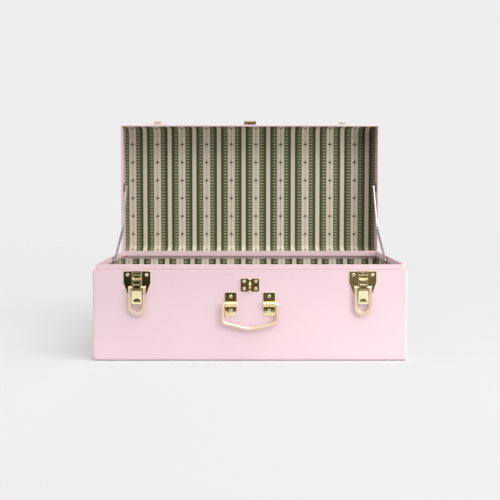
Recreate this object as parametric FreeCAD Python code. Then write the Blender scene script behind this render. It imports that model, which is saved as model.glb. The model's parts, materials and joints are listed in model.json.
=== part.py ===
"""Storage trunk of folded, painted sheet steel, with brass-plated hardware and lined walls.

The lid is drawn closed and then turned back about its hinges, because the trunk is shown open.
Lengths are millimetres. X runs along the trunk, Y towards the hinges, Z up.
The origin is the middle of the underside.
"""
import FreeCAD, Part
import math
import os

from FreeCAD import Vector

# Body of the trunk
body_width = 600.0
body_depth = 300.0
seam_height = 173.0
sheet = 1.0
edge_radius = 5.0
shoulder_radius = 1.6
neck_rise = 11.3
neck_inset = 4.9
neck_wall = 2.0
neck_radius = 4.0
end_lap = 10.0

# Lid
lid_height = 58.0
lid_bend_radius = 17.0
lid_edge_radius = 0.6
rim_gap = 0.4
rim_roll = 4.4
rim_roll_radius = 1.9
open_angle = 90.0

# Lining boards
lining_board = 2.0
lining_drop = 18.0
lid_lining = 1.5
lining_gap = 0.3

# Rear hinges
hinge_inset = 110.0
hinge_length = 60.0
leaf = 1.2
leaf_height = 22.0
knuckle_radius = 3.0
hinge_pin_radius = 1.6
knuckle_gap = 0.3
running_fit = 0.05
hinge_standoff = 3.5

# Fasteners
screw_head_radius = 3.3
screw_head_height = 1.0
screw_head_round = 0.7
screw_shank_radius = 1.5
screw_end = 0.8
rivet_inset = 8.0

# Hardware on the front
hardware_sheet = 1.5
latch_inset = 85.5
latch_plate_width = 51.0
latch_plate_foot = 34.0
latch_plate_height = 46.0
latch_plate_straight = 22.0
latch_plate_drop = 0.9
latch_corner = 2.2
latch_screw_reach = 18.0
latch_screw_drop = 7.2

# Latch housing, with the ears that carry the lever
housing_width = 18.4
housing_wall = 1.2
housing_stand = 6.7
housing_top_drop = 0.2
housing_length = 29.3
housing_corner = 1.0
housing_cap = 2.8
housing_window = 4.4
housing_strap = 2.0

# Latch lever
lever_axle_drop = 15.6
lever_axle_stand = 4.4
lever_axle_radius = 1.5
lever_neck_width = 15.4
lever_width = 19.0
lever_sheet = 1.6
lever_face_stand = 6.2
lever_length = 47.1
lever_eye_radius = 2.4
lever_bar_drop = 10.2
lever_bar = 2.2
lever_shoulder = 21.4
lever_neck_rise = 1.5
lever_corner = 2.0
thumb_hole_width = 15.6
thumb_hole_edge = 2.8
thumb_scoop_depth = 3.6
thumb_scoop_wall = 1.0

# Latch loop
loop_pivot_drop = 16.4
loop_width = 33.0
loop_bar = 5.6
loop_thickness = 3.0
loop_nose = 7.7
loop_length = 53.2
loop_eye_radius = 2.4
loop_eye_round = 1.2
loop_edge = 0.7
loop_pin_radius = 1.5

# Catch on the lid that the loop closes over
catch_width = 50.0
catch_height = 21.5
catch_lift = 5.5
catch_corner = 3.0
catch_screw_reach = 18.0
hook_width = 17.0
hook_floor = 2.8
hook_reach = 8.5
hook_lip = 9.0

# Staple plate with the padlock eye
staple_width = 35.0
staple_height = 25.2
staple_drop = 27.4
staple_waist = 5.0
staple_waist_depth = 3.4
staple_screw_x = 11.0
staple_screw_z = 7.0
eye_thickness = 4.0
eye_hole_radius = 3.6
eye_wall = 2.4
eye_stand = 8.8

# Hasp on the lid
hasp_width = 28.0
hasp_leaf_height = 24.0
hasp_axis_lift = 6.0
hasp_axis_stand = 6.0
hasp_knuckle_radius = 3.2
hasp_pin_radius = 1.5
hasp_tongue = 13.4
hasp_strap_width = 24.0
hasp_strap_stand = 2.8
hasp_strap_sheet = 2.0
hasp_strap_foot = 11.0
hasp_strap_clear = 0.3
hasp_corner = 4.0
hasp_lip = 4.6
slot_clearance = 0.8
slot_end_clearance = 1.5
hasp_screw_x = 8.0
hasp_screw_lift = 16.0

# Handle
bracket_place = 36.5
bracket_width = 22.0
bracket_height = 45.0
bracket_top_drop = 41.4
bracket_corner = 2.5
bracket_screw_top = 7.6
bracket_screw_foot = 10.6
barrel_drop = 22.7
barrel_wall = 1.55
bail_radius = 3.0
bail_stand = 5.0
bail_half_width = 52.0
bail_leg = 35.0
bail_drop = 48.4
bail_end_inset = 1.0
bail_shoulder_bend = 4.0
bail_corner_bend = 9.0
bail_centre_bend = 60.0

# Lid stays: bent, slotted arms
stay_sheet = 1.8
stay_width = 11.0
stay_slot = 4.6
stay_slot_start = 12.0
stay_end = 5.0
stay_pivot_forward = 158.9
stay_pivot_lift = 17.1
stay_upper = 105.0
stay_lower = 121.7
stay_upper_angle = 61.9
stay_lower_angle = 32.5
stay_bracket_sheet = 1.2
stay_boss = 0.8
stay_gap = 0.3
stay_rivet_radius = 2.0
stay_rivet_head = 4.0
stay_rivet_cap = 1.1
stay_bracket_width = 18.0
stay_bracket_drop = 23.0
stay_bracket_top = 1.0
stay_foot_height = 18.0
stay_foot_width = 20.0
stay_shelf_lift = 6.0

# One overrun for every cut, and what counts as the same place or the same direction
overrun = 2.0
touch = 0.01
same_way_share = 0.999
half_turn_angle = 180.0

# Places that follow from the sizes above
front = -body_depth / 2
rear = body_depth / 2
rim_height = seam_height + neck_rise
lid_low = seam_height + rim_gap
lid_top = seam_height + lid_height
hinge_y = rear + hinge_standoff
hinge_z = seam_height + rim_gap / 2
end_seam = body_width / 2 - neck_inset - neck_radius
cavity_half_width = body_width / 2 - sheet
cavity_half_depth = body_depth / 2 - sheet
neck_inner_x = body_width / 2 - neck_inset - neck_wall
lining_top = rim_height - lining_drop
screw_reach = sheet + screw_end
latch_place = body_width / 2 - latch_inset
hinge_place = body_width / 2 - hinge_inset
staple_centre = seam_height - staple_drop
bracket_top = seam_height - bracket_top_drop
X_AXIS = Vector(1, 0, 0)
Y_AXIS = Vector(0, 1, 0)
Z_AXIS = Vector(0, 0, 1)
FORWARDS = Vector(0, -1, 0)

nodes = {}


def box(x_range, y_range, z_range):
    """Block between two values on each axis, given in either order."""
    lows = [min(pair) for pair in (x_range, y_range, z_range)]
    sizes = [abs(pair[1] - pair[0]) for pair in (x_range, y_range, z_range)]
    return Part.makeBox(*sizes, Vector(*lows))


def rod(start, direction, radius, length):
    """Round bar from a start point."""
    return Part.makeCylinder(radius, length, start, direction)


def x_rod(x_low, x_high, y, z, radius):
    """Round bar along the trunk."""
    return rod(Vector(x_low, y, z), X_AXIS, radius, x_high - x_low)


def front_rod(x, z, stand_low, stand_high, radius):
    """Round bar square to the front, between two distances in front of it."""
    return rod(Vector(x, front - stand_high, z), Y_AXIS, radius, stand_high - stand_low)


def front_box(x_range, stand_range, z_range):
    """Block on the front, between two distances in front of it."""
    return box(x_range, [front - stand for stand in stand_range], z_range)


def front_plate(outline, stand_low, stand_high):
    """Flat plate on the front from an outline of (x, z) points."""
    points = [Vector(x, front - stand_high, z) for x, z in outline]
    face = Part.Face(Part.makePolygon(points + points[:1]))
    return face.extrude(Y_AXIS * (stand_high - stand_low))


def union(shapes):
    """Join shapes into one solid with clean faces."""
    shapes = list(shapes)
    return shapes[0].multiFuse(shapes[1:]).removeSplitter()


def edges_along(shape, axis):
    """Straight edges of a shape that run along an axis."""
    straight = [edge for edge in shape.Edges if isinstance(edge.Curve, Part.Line)]
    return [edge for edge in straight
            if abs(edge.tangentAt(edge.FirstParameter).dot(axis)) > same_way_share]


def edges_at_height(shape, height):
    """Edges of a shape that lie level at a height."""
    return [e for e in shape.Edges if all(abs(v.Z - height) < touch for v in e.Vertexes)]


def round_edges(shape, radius, edges):
    """Shape with some edges rounded."""
    return shape.makeFillet(radius, edges)


def upright_block(half_width, half_depth, low, high, radius):
    """Block centred on the trunk with rounded upright edges."""
    block = box((-half_width, half_width), (-half_depth, half_depth), (low, high))
    return round_edges(block, radius, edges_along(block, Z_AXIS))


def mirrored(shape):
    """The same piece at the other end of the trunk."""
    return shape.mirror(Vector(0, 0, 0), X_AXIS)


def both_sides(name, shape):
    """Store a piece made for the right-hand end, and its mirror image for the left."""
    nodes[name + "_right"] = shape
    nodes[name + "_left"] = mirrored(shape)


def turned_open(shape):
    """Turn a piece of the closed lid to the open position."""
    turned = shape.copy()
    turned.rotate(Vector(0, hinge_y, hinge_z), X_AXIS, -open_angle)
    return turned


def domed_head(seat, outwards):
    """Head of a screw or rivet on a seat point, rounded on its outer side."""
    head = rod(seat, outwards, screw_head_radius, screw_head_height)
    crown = seat + outwards * screw_head_height
    rim = [e for e in head.Edges if all(abs(v.Y - crown.y) < touch for v in e.Vertexes)]
    return round_edges(head, screw_head_round, rim[:1])


def front_screws(places):
    """Screws at (x, z) places on the front: heads on the plate, shanks through plate and wall."""
    screws = []
    for x, z in places:
        head = domed_head(Vector(x, front - hardware_sheet, z), FORWARDS)
        shank = front_rod(x, z, -screw_reach, hardware_sheet, screw_shank_radius)
        screws.append(union([head, shank]))
    return Part.makeCompound(screws)


def drilled(shape, places):
    """Shape with holes for the shanks of screws at (x, z) places, through plate and wall."""
    holes = [front_rod(x, z, -overrun, hardware_sheet + overrun, screw_shank_radius) for x, z in places]
    return shape.cut(holes)


# Body: one folded sheet makes the front, the underside and the rear, and two dished ends close it

def body_shell():
    """Whole painted body with its joggled neck, before it is split into its sheets."""
    outside = box((-body_width / 2, body_width / 2), (front, rear), (0, seam_height))
    outside = round_edges(outside, edge_radius, edges_along(outside, Z_AXIS) + edges_at_height(outside, 0))
    outside = round_edges(outside, shoulder_radius, edges_at_height(outside, seam_height))
    neck_half_width = body_width / 2 - neck_inset
    neck_half_depth = body_depth / 2 - neck_inset
    neck = upright_block(neck_half_width, neck_half_depth, seam_height - sheet, rim_height, neck_radius)
    throat = upright_block(neck_half_width - neck_wall, neck_half_depth - neck_wall,
                           seam_height - sheet - overrun, rim_height + overrun, neck_radius - neck_wall)
    return outside.fuse(neck).cut(body_cavity(0)).cut(throat)


def body_cavity(inset):
    """Space inside the body walls below the shoulder, smaller all round by an inset."""
    half_width = cavity_half_width - inset
    half_depth = cavity_half_depth - inset
    low = sheet + inset
    space = box((-half_width, half_width), (-half_depth, half_depth), (low, seam_height - sheet))
    radius = edge_radius - sheet - inset
    return round_edges(space, radius, edges_along(space, Z_AXIS) + edges_at_height(space, low))


def split_body(shell):
    """Wrapper sheet and the right-hand end, which laps inside it."""
    everywhere = body_width + body_depth
    middle = box((-end_seam, end_seam), (-everywhere, everywhere), (-overrun, everywhere))
    outer = box((end_seam, everywhere), (-everywhere, everywhere), (-overrun, everywhere))
    wrapper = shell.common(middle)
    lap_zone = box((end_seam - end_lap, end_seam + sheet), (-everywhere, everywhere),
                   (-overrun, seam_height - end_lap))
    lap = body_cavity(0).cut(body_cavity(sheet)).common(lap_zone)
    end = union([shell.common(outer), lap])
    return wrapper.removeSplitter(), end


latch_screws = [(side * latch_place + across, seam_height - latch_plate_drop - latch_screw_drop)
                for side in (-1, 1) for across in (-latch_screw_reach, latch_screw_reach)]
staple_screws = [(across, staple_centre + up)
                 for across in (-staple_screw_x, staple_screw_x) for up in (-staple_screw_z, staple_screw_z)]
handle_screws = [(side * bracket_place, height)
                 for side in (-1, 1)
                 for height in (bracket_top - bracket_screw_top,
                                bracket_top - bracket_height + bracket_screw_foot)]
body_screws = latch_screws + staple_screws + handle_screws

wrapper, end_right = split_body(body_shell())
nodes["base_wrapper"] = drilled(wrapper, body_screws)
both_sides("base_end", end_right)


# Lining boards of the body: a floor and four walls inside the lapped flanges

def base_linings():
    """Five covered boards, trimmed to the rounded corners of the body."""
    space = body_cavity(0)
    lap = sheet
    wall_low = sheet + lap + lining_board
    side_inner = cavity_half_width - lining_board
    face_outer = cavity_half_depth - lap
    face_inner = face_outer - lining_board
    floor = box((-side_inner, side_inner), (-face_inner, face_inner), (sheet + lap, wall_low))
    nodes["lining_floor"] = floor.common(space)
    for name, side in (("front", -1), ("rear", 1)):
        board = box((-side_inner, side_inner), (side * face_inner, side * face_outer), (wall_low, lining_top))
        nodes["lining_" + name] = board.common(space)
    end_board = box((side_inner, cavity_half_width), (-face_inner, face_inner),
                    (wall_low, lining_top)).common(space)
    both_sides("lining", end_board)


base_linings()


# Lid: one sheet makes both skirts and the top, and flat ends close it inside a rolled rim

def lid_profile(inset):
    """Cross-section of the lid as a face across the trunk, smaller all round by an inset."""
    half = body_depth / 2 - inset
    top = lid_top - inset
    radius = lid_bend_radius - inset
    low = lid_low
    shoulder = top - radius
    middle = radius / math.sqrt(2)
    front_bend = Part.Arc(Vector(0, -half, shoulder), Vector(0, -half + radius - middle, shoulder + middle),
                          Vector(0, -half + radius, top)).toShape()
    rear_bend = Part.Arc(Vector(0, half - radius, top), Vector(0, half - radius + middle, shoulder + middle),
                         Vector(0, half, shoulder)).toShape()
    edges = [
        Part.makeLine(Vector(0, -half, low), Vector(0, -half, shoulder)),
        front_bend,
        Part.makeLine(Vector(0, -half + radius, top), Vector(0, half - radius, top)),
        rear_bend,
        Part.makeLine(Vector(0, half, shoulder), Vector(0, half, low)),
        Part.makeLine(Vector(0, half, low), Vector(0, -half, low)),
    ]
    return Part.Face(Part.Wire(edges))


def lid_block(inset, x_low, x_high):
    """Solid of the lid's cross-section between two places along the trunk."""
    face = lid_profile(inset)
    face.translate(Vector(x_low, 0, 0))
    return face.extrude(X_AXIS * (x_high - x_low))


def part_above(shape, height):
    """Part of a shape above a height."""
    everywhere = body_width + body_depth
    return shape.common(box((-everywhere, everywhere), (-everywhere, everywhere), (height, everywhere)))


def rolled_rim(x_range, y_range, axis):
    """Straight length of the rolled edge, its long corners rounded."""
    bar = box(x_range, y_range, (lid_low, lid_low + rim_roll))
    return round_edges(bar, rim_roll_radius, edges_along(bar, axis))


def lid_pieces():
    """Lid wrapper, right-hand lid end and the one-piece lining, all closed."""
    plate_x = body_width / 2 - sheet
    wrapper = lid_block(0, -plate_x, plate_x).cut(lid_block(sheet, -plate_x - overrun, plate_x + overrun))
    wrapper = part_above(wrapper, lid_low + rim_roll / 2)
    front_roll = rolled_rim((-plate_x, plate_x), (front, front + rim_roll), X_AXIS)
    rear_roll = rolled_rim((-plate_x, plate_x), (rear - rim_roll, rear), X_AXIS)
    wrapper = union([wrapper, front_roll, rear_roll])
    end = lid_block(0, plate_x, body_width / 2)
    end = part_above(end, lid_low + rim_roll / 2)
    outline = [e for e in end.Edges
               if all(abs(v.X - body_width / 2) < touch for v in e.Vertexes)
               and e.BoundBox.ZMax > lid_low + rim_roll]
    end = round_edges(end, lid_edge_radius, outline)
    flange = lid_block(sheet, plate_x - end_lap, plate_x).cut(
        lid_block(sheet + sheet, plate_x - end_lap - overrun, plate_x + overrun))
    flange = part_above(flange, lid_low + rim_roll + sheet)
    side_roll = rolled_rim((body_width / 2 - rim_roll, body_width / 2), (front + rim_roll, rear - rim_roll),
                           Y_AXIS)
    end = union([end, flange, side_roll])
    lining_x = plate_x - lining_gap
    lining = lid_block(sheet + sheet, -lining_x, lining_x).cut(
        lid_block(sheet + sheet + lid_lining, -plate_x, plate_x))
    lining = part_above(lining, lid_low + rim_roll + lining_gap)
    return wrapper, end, lining


catch_low = lid_low + catch_lift
catch_screws = [(side * latch_place + across, catch_low + catch_height - rivet_inset)
                for side in (-1, 1) for across in (-catch_screw_reach, catch_screw_reach)]
hasp_axis_z = lid_low + hasp_axis_lift
hasp_screws = [(across, hasp_axis_z + hasp_screw_lift) for across in (-hasp_screw_x, hasp_screw_x)]
lid_screws = catch_screws + hasp_screws

lid_wrapper, lid_end, lid_lining_piece = lid_pieces()
nodes["lid_wrapper"] = turned_open(drilled(lid_wrapper, lid_screws))
both_sides("lid_end", turned_open(lid_end))
nodes["lid_lining"] = turned_open(lid_lining_piece)


# Rear hinges: two leaves on a pin, the lower one with the outer knuckles

def hinge_pieces():
    """Lower leaf, upper leaf and pin of the right-hand hinge, closed."""
    x_low = hinge_place - hinge_length / 2
    third = hinge_length / 3
    x_cuts = [x_low + third * step for step in range(4)]
    leaf_y = (rear, rear + leaf)
    lower = [box((x_low, x_low + hinge_length), leaf_y, (hinge_z - leaf_height, hinge_z - knuckle_radius))]
    upper = [box((x_low, x_low + hinge_length), leaf_y, (hinge_z + knuckle_radius, hinge_z + leaf_height))]
    for low, high, pieces, up in ((x_cuts[0], x_cuts[1] - knuckle_gap, lower, -1),
                                  (x_cuts[1], x_cuts[2], upper, 1),
                                  (x_cuts[2] + knuckle_gap, x_cuts[3], lower, -1)):
        pieces.append(x_rod(low, high, hinge_y, hinge_z, knuckle_radius))
        pieces.append(box((low, high), leaf_y, (hinge_z, hinge_z + up * (knuckle_radius + leaf))))
    pin_hole = x_rod(x_low - overrun, x_low + hinge_length + overrun, hinge_y, hinge_z, hinge_pin_radius)
    fit_hole = x_rod(x_low - overrun, x_low + hinge_length + overrun, hinge_y, hinge_z,
                     hinge_pin_radius + running_fit)
    pin = x_rod(x_low, x_low + hinge_length, hinge_y, hinge_z, hinge_pin_radius)
    return union(lower).cut(pin_hole), union(upper).cut(fit_hole), pin


def rear_rivets(height):
    """Three rivet heads on each hinge leaf, all at one height."""
    heads = []
    for side in (-1, 1):
        for step in (-1, 0, 1):
            x = side * hinge_place + step * (hinge_length / 2 - rivet_inset)
            heads.append(domed_head(Vector(x, rear + leaf, height), Y_AXIS))
    return Part.makeCompound(heads)


lower_leaf, upper_leaf, hinge_pin = hinge_pieces()
both_sides("hinge_lower_leaf", lower_leaf)
both_sides("hinge_upper_leaf", turned_open(upper_leaf))
both_sides("hinge_pin", hinge_pin)
nodes["hinge_rivets_body"] = rear_rivets(hinge_z - leaf_height + rivet_inset)
nodes["hinge_rivets_lid"] = turned_open(rear_rivets(hinge_z + leaf_height - rivet_inset))


# Draw latches: a plate with a housing, a lever on an axle and a loop hung on the lever

axle_z = seam_height - lever_axle_drop
loop_pivot_z = axle_z - loop_pivot_drop


def latch_plate():
    """Plate with tapering foot and raised housing, with a window and two ears for the axle."""
    top = seam_height - latch_plate_drop
    taper = top - latch_plate_straight
    foot = top - latch_plate_height
    half = latch_plate_width / 2
    foot_half = latch_plate_foot / 2
    outline = [(-half, top), (half, top), (half, taper), (foot_half, foot), (-foot_half, foot),
               (-half, taper)]
    plate = front_plate(outline, 0, hardware_sheet)
    plate = round_edges(plate, latch_corner, edges_along(plate, Y_AXIS))
    housing_top = seam_height - housing_top_drop
    housing_low = housing_top - housing_length
    housing_half = housing_width / 2
    inner_half = housing_half - housing_wall
    shell = front_box((-housing_half, housing_half), (0, housing_stand), (housing_low, housing_top))
    long_edges = [e for e in edges_along(shell, Z_AXIS)
                  if abs(e.Vertexes[0].Y - (front - housing_stand)) < touch]
    shell = round_edges(shell, housing_corner, long_edges)
    pocket = front_box((-inner_half, inner_half), (hardware_sheet, housing_stand - housing_wall),
                       (housing_low - overrun, housing_top - housing_wall))
    window_top = housing_top - housing_cap
    cover = (housing_stand - housing_wall - overrun, housing_stand + overrun)
    window_low = window_top - housing_window
    slot = front_box((-inner_half, inner_half), cover, (window_low, window_top))
    mouth = front_box((-inner_half, inner_half), cover, (housing_low - overrun, window_low - housing_strap))
    axle_hole = x_rod(-housing_width, housing_width, front - lever_axle_stand, axle_z, lever_axle_radius)
    return union([plate, shell]).cut([pocket, slot, mouth, axle_hole])


def half_disc(radius, centre_z, low_z, stand_range):
    """Disc on the front whose lower side is cut off level."""
    disc = front_rod(0, centre_z, *stand_range, radius)
    return disc.common(front_box((-radius, radius), stand_range, (low_z, centre_z + radius)))


def latch_lever():
    """Stamped lever: flanges on the axle, a web and a bar across them, and a thumb plate with a scoop."""
    neck_half = lever_neck_width / 2
    half = lever_width / 2
    face_front = lever_face_stand + lever_sheet
    face = (lever_face_stand, face_front)
    web_stand = (lever_face_stand - lever_sheet, lever_face_stand)
    tip = axle_z - lever_length
    shoulder = axle_z - lever_shoulder
    neck_low = shoulder - lever_sheet
    bar_top = axle_z - lever_bar_drop
    bar_low = bar_top - lever_bar
    thumb = front_box((-half, half), face, (tip, shoulder))
    thumb = round_edges(thumb, lever_corner, edges_along(thumb, Y_AXIS))
    neck = front_box((-neck_half, neck_half), face, (neck_low, shoulder + lever_neck_rise))
    bar = front_box((-neck_half, neck_half), (web_stand[0], face_front), (bar_low, bar_top))
    web = front_box((-neck_half, neck_half), web_stand, (bar_low, axle_z - lever_eye_radius))
    pieces = [neck, thumb, bar, web]
    flange_back = lever_axle_stand - lever_eye_radius
    for side in (-1, 1):
        flange_x = (side * neck_half, side * (neck_half - lever_sheet))
        pieces.append(front_box(flange_x, (flange_back, face_front), (neck_low, axle_z)))
        pieces.append(x_rod(min(flange_x), max(flange_x), front - lever_axle_stand, axle_z, lever_eye_radius))
    hole_radius = thumb_hole_width / 2
    hole_low = tip + thumb_hole_edge
    scoop_back = lever_face_stand - thumb_scoop_depth
    pieces.append(half_disc(hole_radius + thumb_scoop_wall, hole_low, hole_low - thumb_scoop_wall,
                            (scoop_back, lever_face_stand)))
    scoop = half_disc(hole_radius, hole_low, hole_low, (scoop_back + thumb_scoop_wall, face_front + overrun))
    axle_hole = x_rod(-neck_half - overrun, neck_half + overrun, front - lever_axle_stand, axle_z,
                      lever_axle_radius + running_fit)
    loop_hole = x_rod(-neck_half - overrun, neck_half + overrun, front - lever_axle_stand, loop_pivot_z,
                      loop_pin_radius + running_fit)
    return union(pieces).cut([scoop, axle_hole, loop_hole])


def latch_loop():
    """Flat loop with a round nose, open at the top, with two rolled eyes and pins turned in to the lever."""
    half = loop_width / 2
    inner = half - loop_bar
    nose = loop_pivot_z - loop_length
    stand = (lever_axle_stand - loop_thickness / 2, lever_axle_stand + loop_thickness / 2)
    outer = union([front_box((-half, half), stand, (nose + half, loop_pivot_z)),
                   front_rod(0, nose + half, *stand, half)])
    inner_low = nose + loop_nose + inner
    hollow_stand = (stand[0] - overrun, stand[1] + overrun)
    hollow = union([front_box((-inner, inner), hollow_stand, (inner_low, loop_pivot_z + overrun)),
                    front_rod(0, inner_low, *hollow_stand, inner)])
    loop = outer.cut(hollow)
    rounded = [e for e in loop.Edges if e.BoundBox.YLength < touch]
    loop = round_edges(loop, loop_edge, rounded)
    reach = lever_neck_width / 2 - lever_sheet
    pieces = [loop]
    for x_low, x_high, pin_low, pin_high in ((-half, -inner, -inner - loop_bar / 2, -reach),
                                             (inner, half, reach, inner + loop_bar / 2)):
        eye = x_rod(x_low, x_high, front - lever_axle_stand, loop_pivot_z, loop_eye_radius)
        pieces.append(round_edges(eye, loop_eye_round, [e for e in eye.Edges if e.BoundBox.XLength < touch]))
        pieces.append(x_rod(pin_low, pin_high, front - lever_axle_stand, loop_pivot_z, loop_pin_radius))
    return union(pieces)


def latch_catch():
    """Plate on the lid with an upturned hook that the loop closes over."""
    half = catch_width / 2
    plate = front_box((-half, half), (0, hardware_sheet), (catch_low, catch_low + catch_height))
    plate = round_edges(plate, catch_corner, edges_along(plate, Y_AXIS))
    hook_half = hook_width / 2
    floor = front_box((-hook_half, hook_half), (0, hook_reach), (catch_low, catch_low + hook_floor))
    lip = front_box((-hook_half, hook_half), (hook_reach - hardware_sheet, hook_reach),
                    (catch_low, catch_low + hook_lip))
    hook = union([floor, lip])
    bend = [e for e in edges_along(hook, X_AXIS)
            if abs(e.Vertexes[0].Y - (front - hook_reach)) < touch
            and e.Vertexes[0].Z < catch_low + hook_floor]
    hook = round_edges(hook, hardware_sheet, bend)
    return union([plate, hook])


def place(shape, x):
    """Copy of a piece moved along the trunk."""
    moved = shape.copy()
    moved.translate(Vector(x, 0, 0))
    return moved


both_sides("latch_plate", drilled(place(latch_plate(), latch_place), latch_screws))
axle = x_rod(-housing_width / 2, housing_width / 2, front - lever_axle_stand, axle_z, lever_axle_radius)
both_sides("latch_axle", place(axle, latch_place))
both_sides("latch_lever", place(latch_lever(), latch_place))
both_sides("latch_loop", place(latch_loop(), latch_place))
catch_right = drilled(place(latch_catch(), latch_place), catch_screws)
both_sides("latch_catch", turned_open(catch_right))
nodes["latch_screws"] = front_screws(latch_screws)
nodes["catch_screws"] = turned_open(front_screws(catch_screws))


# Staple plate and hasp, for a padlock

def staple_plate():
    """Plate notched at its waist, with an upright eye for the shackle of a padlock."""
    half = staple_width / 2
    top = staple_centre + staple_height / 2
    low = staple_centre - staple_height / 2
    plate = front_box((-half, half), (0, hardware_sheet), (low, top))
    plate = round_edges(plate, catch_corner, edges_along(plate, Y_AXIS))
    for edge_z, step in ((top, -1), (low, 1)):
        outside = edge_z - step * overrun
        outline = [(-staple_waist, outside), (staple_waist, outside), (staple_waist, edge_z),
                   (0, edge_z + step * staple_waist_depth), (-staple_waist, edge_z)]
        plate = plate.cut(front_plate(outline, -overrun, hardware_sheet + overrun))
    eye_radius = eye_hole_radius + eye_wall
    eye = box((-eye_thickness / 2, eye_thickness / 2), (front, front - eye_stand),
              (staple_centre - eye_radius, staple_centre + eye_radius))
    nose = x_rod(-eye_thickness / 2, eye_thickness / 2, front - eye_stand, staple_centre, eye_radius)
    hole = x_rod(-eye_thickness, eye_thickness, front - eye_stand, staple_centre, eye_hole_radius)
    return drilled(union([plate, eye, nose]).cut(hole), staple_screws)


def hasp_leaf():
    """Leaf screwed to the lid, with two outer knuckles."""
    half = hasp_width / 2
    plate = front_box((-half, half), (0, hardware_sheet), (hasp_axis_z, hasp_axis_z + hasp_leaf_height))
    plate = round_edges(plate, latch_corner, [e for e in edges_along(plate, Y_AXIS)
                                              if e.Vertexes[0].Z > hasp_axis_z + hasp_knuckle_radius])
    pieces = [plate]
    for side in (-1, 1):
        x_low, x_high = sorted((side * half, side * (hasp_tongue / 2 + hasp_strap_clear)))
        pieces.append(x_rod(x_low, x_high, front - hasp_axis_stand, hasp_axis_z, hasp_knuckle_radius))
        pieces.append(front_box((x_low, x_high), (0, hasp_axis_stand),
                                (hasp_axis_z, hasp_axis_z + hasp_knuckle_radius)))
    bore = x_rod(-hasp_width, hasp_width, front - hasp_axis_stand, hasp_axis_z, hasp_pin_radius)
    return drilled(union(pieces).cut(bore), hasp_screws)


def hasp_strap():
    """Slotted strap on the middle knuckle, drawn hanging over the padlock eye."""
    half = hasp_strap_width / 2
    foot = staple_centre - hasp_strap_foot
    stand = (hasp_strap_stand, hasp_strap_stand + hasp_strap_sheet)
    shoulder = hasp_axis_z - hasp_knuckle_radius - hasp_strap_clear
    strap = front_box((-half, half), stand, (foot, shoulder))
    strap = round_edges(strap, hasp_corner, [e for e in edges_along(strap, Y_AXIS)
                                             if e.Vertexes[0].Z < staple_centre])
    lip_half = half - hasp_corner
    lip = front_box((-lip_half, lip_half), (hasp_strap_stand, stand[1] + hasp_lip),
                    (foot, foot + hasp_strap_sheet))
    tongue_half = hasp_tongue / 2
    tongue = front_box((-tongue_half, tongue_half), stand, (shoulder - overrun, hasp_axis_z))
    knuckle = x_rod(-tongue_half, tongue_half, front - hasp_axis_stand, hasp_axis_z, hasp_knuckle_radius)
    slot_half = eye_thickness / 2 + slot_clearance
    eye_reach = eye_hole_radius + eye_wall + slot_end_clearance
    slot = front_box((-slot_half, slot_half), (-overrun, stand[1] + overrun),
                     (staple_centre - eye_reach, staple_centre + eye_reach))
    bore = x_rod(-hasp_width, hasp_width, front - hasp_axis_stand, hasp_axis_z, hasp_pin_radius + running_fit)
    return union([strap, lip, tongue, knuckle]).cut([slot, bore])


nodes["staple_plate"] = staple_plate()
nodes["staple_screws"] = front_screws(staple_screws)
nodes["hasp_leaf"] = turned_open(hasp_leaf())
hasp_pin = x_rod(-hasp_width / 2, hasp_width / 2, front - hasp_axis_stand, hasp_axis_z, hasp_pin_radius)
nodes["hasp_pin"] = turned_open(hasp_pin)
nodes["hasp_screws"] = turned_open(front_screws(hasp_screws))
folded_strap = hasp_strap()
folded_strap.rotate(Vector(0, front - hasp_axis_stand, hasp_axis_z), X_AXIS, half_turn_angle)
nodes["hasp_strap"] = turned_open(folded_strap)


# Handle: two brackets with barrels, and a bail of round bar

barrel_z = bracket_top - barrel_drop


def handle_bracket():
    """Flat bracket with a rolled barrel across it for the end of the bail."""
    half = bracket_width / 2
    plate = front_box((-half, half), (0, hardware_sheet), (bracket_top - bracket_height, bracket_top))
    plate = round_edges(plate, bracket_corner, edges_along(plate, Y_AXIS))
    barrel = x_rod(-half, half, front - bail_stand, barrel_z, bail_radius + barrel_wall)
    bore = x_rod(-half - overrun, half + overrun, front - bail_stand, barrel_z, bail_radius + running_fit)
    return union([plate, barrel]).cut(bore)


def bent_bar(points, bends, radius):
    """Round bar along straight runs joined by tangent bends of given radii."""
    edges = []
    start = points[0]
    for before, corner, after, bend in zip(points, points[1:], points[2:], bends):
        into = (corner - before).normalize()
        out = (after - corner).normalize()
        turn = into.getAngle(out)
        setback = bend * math.tan(turn / 2)
        first = corner - into * setback
        last = corner + out * setback
        inward = (out - into).normalize()
        middle = corner + inward * (bend / math.cos(turn / 2) - bend)
        edges.append(Part.makeLine(start, first))
        edges.append(Part.Arc(first, middle, last).toShape())
        start = last
    edges.append(Part.makeLine(start, points[-1]))
    path = Part.Wire(edges)
    section = Part.Wire(Part.makeCircle(radius, points[0], points[1] - points[0]))
    return path.makePipeShell([section], True, False)


def handle_bail():
    """Bail with both ends turned in to the barrels and a shallow dip at the middle."""
    inner = bracket_place - bracket_width / 2 + bail_end_inset
    leg_foot = barrel_z - bail_leg
    outline = [(-inner, barrel_z), (-bail_half_width, barrel_z), (-bail_half_width, leg_foot),
               (0, barrel_z - bail_drop), (bail_half_width, leg_foot), (bail_half_width, barrel_z),
               (inner, barrel_z)]
    bends = [bail_shoulder_bend, bail_corner_bend, bail_centre_bend, bail_corner_bend, bail_shoulder_bend]
    return bent_bar([Vector(x, front - bail_stand, z) for x, z in outline], bends, bail_radius)


both_sides("handle_bracket", drilled(place(handle_bracket(), bracket_place), handle_screws))
nodes["handle_screws"] = front_screws(handle_screws)
nodes["handle_bail"] = handle_bail()


# Lid stays: each arm turns on a bracket in the lid, and its bent slot runs on a stud in the body

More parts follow.
